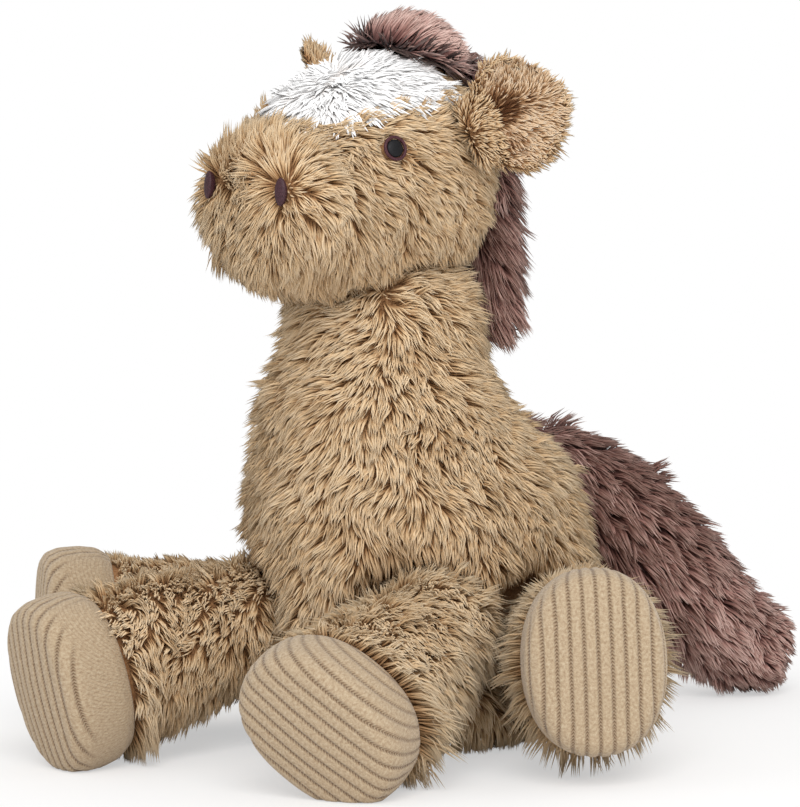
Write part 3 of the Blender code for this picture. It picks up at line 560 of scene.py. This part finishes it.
def ribKnit():
    # Wide rib knit in heathered beige acrylic yarn; slanting stitches close its grooves, which are
    # painted dark brown as painted shade
    material, tree, shader = newMaterial("beige rib knit", 0.95, 0.2, 0.15)
    chart = addNode(tree, "ShaderNodeUVMap", {"uv_map": "fabric"})
    split = addNode(tree, "ShaderNodeSeparateXYZ", links={"Vector": chart.outputs["UV"]})
    panel = addNode(tree, "ShaderNodeUVMap", {"uv_map": "panel"})
    side = addNode(tree, "ShaderNodeSeparateXYZ", links={"Vector": panel.outputs["UV"]})
    across = mathNode(tree, "DIVIDE", split.outputs["X"], hoofShape["ribSpacing"] / chartWidth)
    rib = mathNode(tree, "PINGPONG", across, 0.5)
    row = mathNode(tree, "MULTIPLY", split.outputs["Y"],
                   math.tau * chartWidth / hoofShape["stitch"])
    slant = mathNode(tree, "MULTIPLY_ADD", rib, knitLook["slant"], row)
    stitch = mathNode(tree, "MULTIPLY_ADD", mathNode(tree, "SINE", slant), 0.5, 0.5)
    groove = rampNode(tree, rib, [(0.0, "#FFFFFF"), (0.1, "#D8D8D8"), (0.2, "#000000")])
    loops = addNode(tree, "ShaderNodeTexNoise", {"Scale": 75.0, "Detail": 5.0, "Roughness": 0.75},
                    {"Vector": chart.outputs["UV"]})
    yarn = rampNode(tree, loops.outputs["Fac"], [
        (0.3, "#917A5F"), (0.5, "#AF9A7F"), (0.7, "#C3B399")])
    dash = mathNode(tree, "MULTIPLY_ADD", mathNode(tree, "POWER", stitch, knitLook["dashPower"]),
                    knitLook["dash"], knitLook["dashLeast"])
    ribbed = mathNode(tree, "MULTIPLY", mathNode(tree, "MULTIPLY", groove.outputs["Color"], dash),
                      side.outputs["X"])
    # Towards the seam the panel is plain but for fine slanting courses, painted darker as painted
    # shade between them
    slope = mathNode(tree, "ADD", split.outputs["X"], split.outputs["Y"])
    course = mathNode(tree, "SINE", mathNode(tree, "MULTIPLY", slope,
                                             math.tau * chartWidth / knitLook["course"]))
    plain = mathNode(tree, "SUBTRACT", 1, side.outputs["X"])
    fine = mathNode(tree, "MULTIPLY", mathNode(tree, "POWER", mathNode(
        tree, "MAXIMUM", course, 0.0), knitLook["coursePower"]), mathNode(
            tree, "MULTIPLY", plain, knitLook["courseShade"]))
    mix = addNode(tree, "ShaderNodeMix", {"data_type": "RGBA"})
    tree.links.new(mathNode(tree, "ADD", ribbed, fine), mix.inputs[0])
    tree.links.new(yarn.outputs["Color"], mix.inputs[6])
    # The dark brown painted into the grooves and courses is painted shade
    mix.inputs[7].default_value = linear("#5A402A")
    tree.links.new(mix.outputs[2], shader.inputs["Base Color"])
    height = mathNode(tree, "SUBTRACT", loops.outputs["Fac"], mathNode(
        tree, "MULTIPLY", mathNode(tree, "ADD", ribbed, fine), knitLook["depth"]))
    bump = addNode(tree, "ShaderNodeBump", {"Strength": 0.7, "Distance": 0.0006},
                   {"Height": height})
    tree.links.new(bump.outputs["Normal"], shader.inputs["Normal"])
    return material


def profilePoints(values):
    # The hoof's outline from its seam over the edge to the middle of the sole, in even steps
    table = np.array(hoofProfile)
    samples, blur = 400, 31
    fine = np.linspace(0, 1, samples)
    knots = np.linspace(0, 1, len(table))
    smooth = [np.interp(fine, knots, table[:, i]) for i in range(3)]
    kernel = np.hanning(blur)
    kernel /= kernel.sum()
    smooth = [np.convolve(np.pad(row, blur // 2, mode="edge"), kernel, "valid") for row in smooth]
    run = np.hypot(np.diff(smooth[0]) * values["length"], np.diff(smooth[2]) * values["halfHeight"])
    run = np.concatenate([[0], np.cumsum(run)])
    even = np.linspace(0, run[-1], int(run[-1] / values["step"]))
    return [np.interp(even, run, row) for row in smooth], even


def makeHoof(name, values, material):
    hip, axis = legAxes[name]
    side = up.cross(axis).normalized()
    lift = axis.cross(side).normalized()
    roll = Matrix.Rotation(math.radians(values["rolls"][name]), 3, axis)
    # The fabric's width runs to the right of someone who faces the sole, turned by the roll
    side, lift = roll @ side, roll @ lift
    reach = [(Vector(point) - hip).dot(axis) for point in
             pointsOf(frame["nodes"][name + "_hoof"].data)]
    seam = hip + axis * min(reach)
    (alongs, wides, talls), even = profilePoints(values)
    shape = bmesh.new()
    bmesh.ops.create_circle(shape, segments=values["around"], radius=1)
    rings = [shape.verts[:]]
    ring = shape.edges[:]
    for _ in alongs[1:]:
        grown = bmesh.ops.extrude_edge_only(shape, edges=ring)["geom"]
        rings.append([item for item in grown if isinstance(item, bmesh.types.BMVert)])
        ring = [item for item in grown if isinstance(item, bmesh.types.BMEdge)]
    fabric = {}
    for i, corners in enumerate(rings):
        # How far the fabric has run out from the sole's middle
        out = even[-1] - even[i]
        for corner in corners:
            turn = math.atan2(corner.co.y, corner.co.x)
            x = math.copysign(abs(math.cos(turn)) ** values["square"], math.cos(turn))
            y = math.copysign(abs(math.sin(turn)) ** values["square"], math.sin(turn))
            flatX = out * x * values["halfWidth"] / values["halfHeight"]
            flatY = out * y
            wall = min(1, max(0, (values["plainFrom"] - alongs[i]) / values["plainOver"]))
            beside = min(1, max(0, (abs(x) - values["plainSide"]) / values["plainOver"]))
            ribbed = 1 - wall * beside * values["plain"][name]
            phase = flatX / values["ribSpacing"]
            gap = abs(phase - round(phase)) * values["ribSpacing"]
            dip = values["ribDepth"] * math.exp(-(gap / values["groove"]) ** 2) * ribbed
            dip *= min(1, i / 6)
            inward = dip * (0.9 if talls[i] > 0.7 else 0.2)
            wide = wides[i] * values["halfWidth"] - inward
            tall = talls[i] * values["halfHeight"] - inward
            deep = alongs[i] * values["length"] - dip * (1 - min(1, talls[i]) ** 6)
            fabric[corner] = (flatX, flatY, ribbed)
            corner.co = seam + (side * (x * wide) + lift * (y * tall) + axis * deep) * millimetre
            corner.co.z = max(corner.co.z, 0.3 * millimetre)
    bmesh.ops.contextual_create(shape, geom=ring)
    bmesh.ops.contextual_create(shape, geom=[edge for edge in shape.edges if edge.is_boundary])
    bmesh.ops.recalc_face_normals(shape, faces=shape.faces)
    chart = shape.loops.layers.uv.new("fabric")
    panel = shape.loops.layers.uv.new("panel")
    for face in shape.faces:
        for loop in face.loops:
            x, y, ribbed = fabric[loop.vert]
            loop[chart].uv = (x / chartWidth + 0.496, y / chartWidth + 0.5)
            loop[panel].uv = (ribbed, 0)
    hoof = newObject(name + "_hoof_knit", meshFrom(name + "_hoof_knit", shape), material)
    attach(hoof, name + "_leg")
    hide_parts(name + "_hoof")


knit = ribKnit()
for name in legNames:
    makeHoof(name, hoofShape, knit)
print("hooves made")


# Head with its white forehead patch

headPile = {"spacing": 1.1, "length": 9.5, "uneven": 0.22, "width": 0.75, "lift": 52, "rest": 20,
            "ruffle": 7, "wave": 0.06, "droop": 0.1, "wander": 30, "scatter": 16, "swirl": 30,
            "tuft": 3.8, "gather": 0.42, "patches": 0.12, "patchSize": 24, "softness": 0.6,
            "neckBare": 50, "inBody": 3, "underForelock": 4, "border": 5, "borderTurn": 1.6,
            "borderLift": -22, "seed": 51}
blazePile = {"spacing": 1.1, "length": 12, "uneven": 0.2, "width": 1.5, "lift": 26, "rest": 6,
             "ruffle": 4, "wave": 0.06, "droop": 0.0, "wander": 30, "scatter": 16, "swirl": 16,
             "tuft": 4, "gather": 0.25, "patches": 0.1, "patchSize": 20, "softness": 1.0,
             "halfWidths": (29, 36), "middle": (4, -34, 112), "looseSize": 11, "looseReach": 14,
             "backing": 1.4, "seed": 71}
# How far forward the patch reaches at each distance from the head's middle
blazeFront = ((0, -59), (5, -58), (16, -54), (24, -47), (28, -39), (31, -32))
headSkin = {"voxel": 2.4, "smoothing": 5, "inset": 0.3}

skin = skinFrom("head_skin", "head_stuffing", "head", headSkin, tanBacking)
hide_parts("head_stuffing")
skinTree = BVHTree.FromObject(skin, bpy.context.evaluated_depsgraph_get())
roots, normals = scatter(skin, headPile["spacing"], headPile["seed"])
keep = np.linalg.norm(roots - neckPoint, axis=1) > headPile["neckBare"] * millimetre
keep &= depthIn(hulls["body"], roots) < headPile["inBody"] * millimetre
underLock = depthIn(hulls["forelock"], roots + normals * 7 * millimetre)
keep &= underLock < headPile["underForelock"] * millimetre
roots, normals, underLock = roots[keep], normals[keep], underLock[keep]

blazeShape = bmesh.new()
blazeShape.from_mesh(frame["nodes"]["blaze"].data)
blazeTree = BVHTree.FromBMesh(blazeShape)
blazeShape.free()
inBlaze = np.array([
    blazeTree.ray_cast(Vector(root), Vector(normal), 12 * millimetre)[0] is not None
    for root, normal in zip(roots, normals)])
onCrown = (roots - neckPoint) @ np.array(headTurn) / millimetre
inBlaze |= (underLock > -6 * millimetre) & (onCrown[:, 1] < 6)
inBlaze &= np.abs(onCrown[:, 0]) < np.interp(onCrown[:, 1], (-22, -2), blazePile["halfWidths"])
inBlaze &= onCrown[:, 1] > np.interp(np.abs(onCrown[:, 0]), *np.array(blazeFront).T)


def keepEmbroideryClear(roots, normals, comb, length, spots):
    # Pile that would fall over an eye or nostril is cut shorter or left out
    scale = np.ones(len(roots))
    keep = np.ones(len(roots), bool)
    comb = unit(comb)
    for centre, facing, radius in spots:
        offset = roots - np.array(centre)
        out = offset - (offset @ np.array(facing))[:, None] * np.array(facing)
        distance = np.linalg.norm(out, axis=1)
        front = (offset @ np.array(facing)) > -12 * millimetre
        keep &= ~((distance < radius - 0.5 * millimetre) & front)
        toward = -(unit(out) * comb).sum(axis=1)
        room = distance - radius
        need = length * millimetre * 0.8 * np.maximum(toward, 0.15)
        close = front & (room < need) & (distance < radius + length * millimetre)
        scale = np.where(close, np.minimum(scale, np.clip(room / need, 0.25, 1)), scale)
    return keep, scale


def facingAt(point):
    place, normal, _, _ = skinTree.find_nearest(point)
    return normal.normalized()


clearRadius = {"eye": 5.6, "nostril": 1.7}  # the pile leaves this much clear, in mm
spots = []
for name, radius in clearRadius.items():
    for hand in ("left", "right"):
        middle = centreOf(hand + "_" + name)
        spots.append((middle, facingAt(middle), radius * millimetre))

noses = [np.array(centreOf(hand + "_nostril") + up * 3 * millimetre) for hand in ("left", "right")]


def headComb(points):
    # Parted above each nostril; the cheeks are combed down and the brow back
    away = np.zeros(points.shape)
    reach = np.full(len(points), 1.0)
    for nose in noses:
        offset = points - nose
        distance = np.linalg.norm(offset, axis=1)
        offset = offset * (0.6, 0.6, 1)
        away += unit(offset) / distance[:, None] ** 2
        reach = np.minimum(reach, distance)
    height = (points - neckPoint) @ np.array(headTurn @ up)
    fall = np.clip((0.1 - height) / 0.022, 0, 1) * np.clip((reach - 0.008) / 0.022, 0, 1)
    return (unit(away) * (0.25 + 1.1 * np.exp(-reach / 0.015))[:, None] + np.array([0, 0.3, 0.1])
            + fall[:, None] * np.array([0, 0, -1.0]))


tanRoots, tanNormals = roots[~inBlaze], normals[~inBlaze]
blazeRoots = KDTree(int(inBlaze.sum()))
for i, root in enumerate(roots[inBlaze]):
    blazeRoots.insert(Vector(root), i)
blazeRoots.balance()
found = [blazeRoots.find(Vector(root)) for root in tanRoots]
gap = np.array([item[2] for item in found])
# Next to the white patch the tan pile is combed away from it and lies flatter
border = np.exp(-gap / (headPile["border"] * millimetre))
toWhite = unit(np.array([item[0][:] for item in found]) - tanRoots)
comb = unit(headComb(tanRoots)) - toWhite * (headPile["borderTurn"] * border)[:, None]
keep, scale = keepEmbroideryClear(tanRoots, tanNormals, comb, headPile["length"], spots)
# The muzzle and the chin have the longer coat, the cheeks by the ears the shorter one
place = (tanRoots - neckPoint) @ np.array(headTurn @ Vector((0, 1, 0)))
scale *= np.interp(place, (-0.08, -0.05, 0.0, 0.03), (1.35, 1.15, 1.0, 0.85))
growPile("head_pile", "head", tanRoots[keep], tanNormals[keep], comb[keep],
         dict(headPile, scale=scale[keep], raised=headPile["borderLift"] * border[keep]), tanPile,
         ["head_cover"])

# Below the white patch the backing is white too
skin = bpy.data.objects["head_skin"]
skin.data.materials.append(whiteBacking)
for face in skin.data.polygons:
    face.material_index = int(
        blazeRoots.find(face.center)[2] < blazePile["backing"] * millimetre)

# The white pile fans out from the middle of the patch, where its tufts point every way
whiteRoots, whiteNormals = roots[inBlaze], normals[inBlaze]
offset = whiteRoots - np.array(onHead(*blazePile["middle"]))
reach = np.linalg.norm(offset, axis=1, keepdims=True)
loose = np.column_stack([waves(whiteRoots, blazePile["looseSize"], blazePile["seed"] + way)
                         for way in (1, 2, 3)])
comb = (offset / (reach + 8 * millimetre)
        + loose * np.exp(-reach / (blazePile["looseReach"] * millimetre)))
keep, scale = keepEmbroideryClear(whiteRoots, whiteNormals, comb, blazePile["length"], spots)
growPile("blaze_pile", "head", whiteRoots[keep], whiteNormals[keep], comb[keep],
         dict(blazePile, scale=scale[keep]), whitePile, ["blaze"])


# Eyes and nostrils in satin stitch

stitchShape = {"eyeRadius": 4.1, "ringRadius": 5.0, "ringThread": 0.75, "rise": 1.4, "depth": 3.4,
               "stand": -1.2, "nostrilStand": -2.3, "nostrilHalfWidth": 2.9,
               "nostrilHalfHeight": 6.2, "pitch": 0.45, "ridge": 0.1}


def placeStitching(name, shape, centre, facing, material):
    across = up.cross(facing).normalized()
    turn = Matrix((across, facing.cross(across).normalized(), facing)).transposed().to_4x4()
    shape.transform(Matrix.Translation(centre) @ turn @ Matrix.Scale(millimetre, 4))
    bmesh.ops.recalc_face_normals(shape, faces=shape.faces)
    piece = newObject(name + "_stitching", meshFrom(name + "_stitching", shape), material)
    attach(piece, "head")
    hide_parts(name)


def stitchedPad(halfWidth, halfHeight, upright):
    # A low padded oval whose surface is ridged by rows of thread
    pitch, rise, depth = stitchShape["pitch"], stitchShape["rise"], stitchShape["depth"]
    shape = bmesh.new()
    bmesh.ops.create_uvsphere(shape, u_segments=48, v_segments=40, radius=1)
    for corner in shape.verts:
        x, y, z = corner.co
        row = (x * halfWidth if upright else y * halfHeight + x * halfWidth * 0.2) / pitch
        ridge = stitchShape["ridge"] * abs(math.sin(row * math.pi)) * max(z, 0)
        corner.co = Vector((x * halfWidth, y * halfHeight, z * (rise if z > 0 else depth) + ridge))
    return shape


for hand in ("left", "right"):
    for name in ("eye", "nostril"):
        middle = centreOf(hand + "_" + name)
        facing = facingAt(middle)
        stand = stitchShape["stand" if name == "eye" else "nostrilStand"]
        centre = middle + facing * stand * millimetre
        if name == "eye":
            pad = stitchedPad(stitchShape["eyeRadius"], stitchShape["eyeRadius"], False)
            placeStitching(hand + "_eye", pad, centre, facing, blackThread)
            ring = bmesh.new()
            bmesh.ops.create_circle(ring, segments=12, radius=stitchShape["ringThread"])
            bmesh.ops.rotate(ring, verts=ring.verts, matrix=Matrix.Rotation(math.pi / 2, 3, "X"))
            bmesh.ops.translate(ring, verts=ring.verts, vec=(stitchShape["ringRadius"], 0, 0.3))
            bmesh.ops.spin(ring, geom=ring.verts[:] + ring.edges[:], cent=(0, 0, 0),
                           axis=(0, 0, 1), angle=math.tau, steps=64, use_merge=True)
            bmesh.ops.remove_doubles(ring, verts=ring.verts, dist=0.01)
            placeStitching(hand + "_eye_ring", ring, centre, facing, brownThread)
        else:
            pad = stitchedPad(stitchShape["nostrilHalfWidth"], stitchShape["nostrilHalfHeight"],
                              True)
            placeStitching(hand + "_nostril", pad, centre, facing, maroonThread)
print("embroidery made")


# Ears

earPile = {"spacing": 1.05, "length": 6.5, "uneven": 0.2, "width": 0.8, "lift": 38, "rest": 12,
           "ruffle": 4, "wave": 0.05, "droop": 0.2, "wander": 20, "scatter": 9, "swirl": 20,
           "tuft": 3.4, "gather": 0.1, "patches": 0.1, "patchSize": 16, "softness": 0.3,
           "lobe": {"left": 0.45, "right": -0.5}, "fan": 10, "seed": 81}
cupPile = {"spacing": 0.9, "length": 6, "uneven": 0.2, "width": 0.7, "lift": 22, "rest": 4,
           "ruffle": 3, "wave": 0.05, "droop": 0.0, "wander": 18, "scatter": 8, "swirl": 16,
           "tuft": 3, "gather": 0.05, "patches": 0.05, "patchSize": 12, "softness": 0.85,
           "tone": 0.35, "seed": 91}
earSkin = {"voxel": 1.1, "smoothing": 2, "inset": 1.5}
# Painted shade in each fold of the cup: how far out, how high, how wide and how dark
earFoldShade = ((15, 5, 13, 1.0), (12, -12, 10, 0.7))

for number, hand in enumerate(("left", "right")):
    body = hand + "_ear"
    skin = skinFrom(hand + "_ear_skin", hand + "_ear", body, earSkin, tanBacking)
    roots, normals = scatter(skin, earPile["spacing"], earPile["seed"] + number)
    seam, _ = jointPlace(hand + "_ear_fold")
    middle = centreOf(hand + "_ear")
    outward = unit(np.array(middle - seam))
    lining = bmesh.new()
    lining.from_mesh(frame["nodes"][hand + "_ear_lining"].data)
    liningTree = BVHTree.FromBMesh(lining)
    lining.free()
    inCup = np.array([
        liningTree.ray_cast(Vector(root), Vector(normal), 8 * millimetre)[0] is not None
        for root, normal in zip(roots, normals)])
    # The pile fans out from the ear's root; deep in the cup two folds are painted dark, as painted
    # shade
    tall = np.array(jointPlace(hand + "_ear_fold")[1])
    tall = tall if tall[2] > 0 else -tall
    comb = unit(roots - np.array(seam) + outward * earPile["fan"] * millimetre)
    values = dict(earPile, seed=earPile["seed"] + number)
    # The left ear's pile is longest on its lobe, the right ear's on its top
    values["scale"] = (1 - values["lobe"][hand] * normals[:, 2])[~inCup]
    growPile(hand + "_ear_pile", body, roots[~inCup], normals[~inCup], comb[~inCup], values,
             tanPile, [hand + "_ear"])
    far = ((roots - np.array(seam)) @ outward / millimetre)[inCup]
    high = ((roots - np.array(seam)) @ tall / millimetre)[inCup]
    tone = cupPile["tone"] * np.ones(len(far))
    # The lining's tone drops in each fold: painted shade
    for place, rise, reach, depth in earFoldShade:
        tone -= depth * np.exp(-((far - place) / reach) ** 2
                               - ((high - rise) / (reach * 0.55)) ** 2)
    comb = comb[inCup] + np.outer(np.clip((high - earFoldShade[0][1]) / 6, -1, 1) * 0.6, tall)
    values = dict(cupPile, seed=cupPile["seed"] + number, tone=tone)
    growPile(hand + "_ear_lining_pile", body, roots[inCup], normals[inCup], comb, values,
             liningPile, [hand + "_ear_lining"])


# Forelock, mane and tail in long brown pile

# The forelock's raised tone paints its pile paler than the mane and tail: painted light
forelockPile = {"spacing": 1.0, "length": 13, "uneven": 0.15, "width": 0.95, "lift": 20, "rest": 2,
                "ruffle": 2, "wave": 0.04, "droop": 0.05, "wander": 10, "scatter": 5, "swirl": 22,
                "tuft": 4, "gather": 0.05, "patches": 0.2, "patchSize": 14, "softness": 0.9,
                "tone": 0.45, "seed": 101}
manePile = dict(forelockPile, spacing=1.15, length=18, width=0.8, lift=56, rest=28, ruffle=7,
                droop=0.3, scatter=10, gather=0.45, softness=0.6, tone=-0.15, seed=111)
tailPile = dict(manePile, spacing=1.4, length=16, width=0.95, lift=52, rest=26, scatter=14, tuft=5,
                patchSize=26, shortTip=0.45, seed=121)
shagSkin = {"voxel": 2.0, "smoothing": 4, "inset": 4.5}

skin = skinFrom("forelock_skin", "forelock", "head", dict(shagSkin, inset=2.6), brownBacking)
roots, normals = scatter(skin, forelockPile["spacing"], forelockPile["seed"])
base = np.array(onHead(0, -4, 112))
growPile("forelock_pile", "head", roots, normals, unit(roots - base), forelockPile, brownPile,
         ["forelock"])

skin = skinFrom("mane_skin", "mane", "head", dict(shagSkin, inset=3.5), brownBacking)
roots, normals = scatter(skin, manePile["spacing"], manePile["seed"])
maneMiddle = centreOf("mane")
sideWay = np.array(headTurn @ Vector((1, 0, 0)))
sides = np.clip(((roots - np.array(maneMiddle)) @ sideWay) / 0.012, -1, 1)[:, None]
comb = np.array([0, 0.5, -1.0]) + sideWay * sides * 0.5
growPile("mane_pile", "head", roots, normals, comb, manePile, brownPile, ["mane"])

skin = skinFrom("tail_skin", "tail", "tail", dict(shagSkin, inset=5), brownBacking)
roots, normals = scatter(skin, tailPile["spacing"], tailPile["seed"])
tailSeam, _ = jointPlace("tail_lift")
tip = pointsOf(frame["nodes"]["tail"].data)
tip = tip[np.argmax(np.linalg.norm(tip - np.array(tailSeam), axis=1))]
tailWay = unit(tip - np.array(tailSeam))
tailSide = unit(np.cross(tailWay, np.array(up)))
offset = roots - np.array(tailSeam)
aside = offset @ tailSide
keep = depthIn(hulls["body"], roots) < 3 * millimetre
along = offset @ tailWay
# Towards its end the tail's pile is shorter and paler
share = along / along.max()
shorter = 1 - tailPile["shortTip"] * np.clip((share - 0.7) / 0.25, 0, 1)
tone = np.interp(share, (0.3, 0.8), (-0.5, 0.1))
comb = tailWay * 0.9 + tailSide * (np.clip(aside / 0.01, -1, 1) * 0.7)[:, None] + np.array(
    [0, 0, -0.2])
growPile("tail_pile", "tail", roots[keep], normals[keep], comb[keep],
         dict(tailPile, scale=shorter[keep], tone=tone[keep]), brownPile, ["tail"])


# Studio: pale floor, soft light and the camera

studio = {"world": 0.78, "key": 50.0, "keySize": 1.8, "keyPlace": (1.6, -1.6, 1.7),
          "floorSize": 6.0, "fadeStart": 0.19, "fadeEnd": 0.36, "glow": 0.5}


def floorMaterial():
    # Painted pale sweep that keeps the shadow near the object, but half glows there for the camera,
    # which paints the shadow lighter, and fades to a white glow further out
    material, tree, shader = newMaterial("white studio sweep", 0.9, 0.0, 0.1)
    shader.inputs["Base Color"].default_value = linear("#F6F5F4")
    place = addNode(tree, "ShaderNodeTexCoord")
    distance = addNode(tree, "ShaderNodeVectorMath", {"operation": "LENGTH"},
                       {0: place.outputs["Object"]})
    fade = addNode(tree, "ShaderNodeMapRange", {
        "From Min": studio["fadeStart"], "From Max": studio["fadeEnd"], "To Min": studio["glow"],
        "interpolation_type": "SMOOTHSTEP"}, {"Value": distance.outputs["Value"]})
    rays = addNode(tree, "ShaderNodeLightPath")
    seen = addNode(tree, "ShaderNodeMath", {"operation": "MULTIPLY"},
                   {0: fade.outputs["Result"], 1: rays.outputs["Is Camera Ray"]})
    glow = addNode(tree, "ShaderNodeEmission", {"Color": (1, 1, 1, 1), "Strength": 1.0})
    mix = addNode(tree, "ShaderNodeMixShader", links={
        0: seen.outputs[0], 1: shader.outputs["BSDF"], 2: glow.outputs["Emission"]})
    tree.links.new(mix.outputs[0], tree.nodes["Material Output"].inputs["Surface"])
    return material


def makeStudio():
    shape = bmesh.new()
    bmesh.ops.create_grid(shape, x_segments=2, y_segments=2, size=studio["floorSize"])
    floor = newObject("floor", meshFrom("floor", shape, False), floorMaterial())
    world = bpy.data.worlds.new("soft room")
    bpy.context.scene.world = world
    world.use_nodes = True
    tree = world.node_tree
    sky = tree.nodes["Background"]
    sky.inputs["Color"].default_value = (1, 1, 1, 1)
    rays = addNode(tree, "ShaderNodeLightPath")
    level = addNode(tree, "ShaderNodeMapRange", {"To Min": studio["world"], "To Max": 1.0},
                    {"Value": rays.outputs["Is Camera Ray"]})
    tree.links.new(level.outputs["Result"], sky.inputs["Strength"])
    light = bpy.data.lights.new("softbox", "AREA")
    light.shape = "DISK"
    light.size = studio["keySize"]
    light.energy = studio["key"]
    lamp = bpy.data.objects.new("softbox", light)
    bpy.context.scene.collection.objects.link(lamp)
    lamp.location = studio["keyPlace"]
    way = Vector((0, 0, 0.15)) - lamp.location
    lamp.rotation_euler = way.to_track_quat("-Z", "Y").to_euler()


photo = {"azimuth": 40, "elevation": 5, "distance": 2.2, "target": (0, 0, 0.170),
         "targetPixel": (431, 363), "metresPerPixel": 0.000457, "roll": -1.8,
         "size": (800, 807), "sensor": 36}


def makeCamera():
    turn, rise = math.radians(photo["azimuth"]), math.radians(photo["elevation"])
    target = Vector(photo["target"])
    way = Vector((math.sin(turn) * math.cos(rise), -math.cos(turn) * math.cos(rise),
                  math.sin(rise)))
    view = bpy.data.cameras.new("camera")
    camera = bpy.data.objects.new("camera", view)
    bpy.context.scene.collection.objects.link(camera)
    place = Matrix.Translation(target + way * photo["distance"])
    aim = (-way).to_track_quat("-Z", "Y").to_matrix().to_4x4()
    camera.matrix_world = place @ aim @ Matrix.Rotation(math.radians(photo["roll"]), 4, "Z")
    wide, high = photo["size"]
    longest = max(wide, high)
    view.sensor_width = photo["sensor"]
    view.lens = photo["distance"] / photo["metresPerPixel"] / longest * photo["sensor"]
    view.shift_x = (wide / 2 - photo["targetPixel"][0]) / longest
    view.shift_y = -(high / 2 - photo["targetPixel"][1]) / longest
    bpy.context.scene.camera = camera


makeStudio()
makeCamera()
bpy.context.scene.view_settings.view_transform = "Standard"
print("studio made")
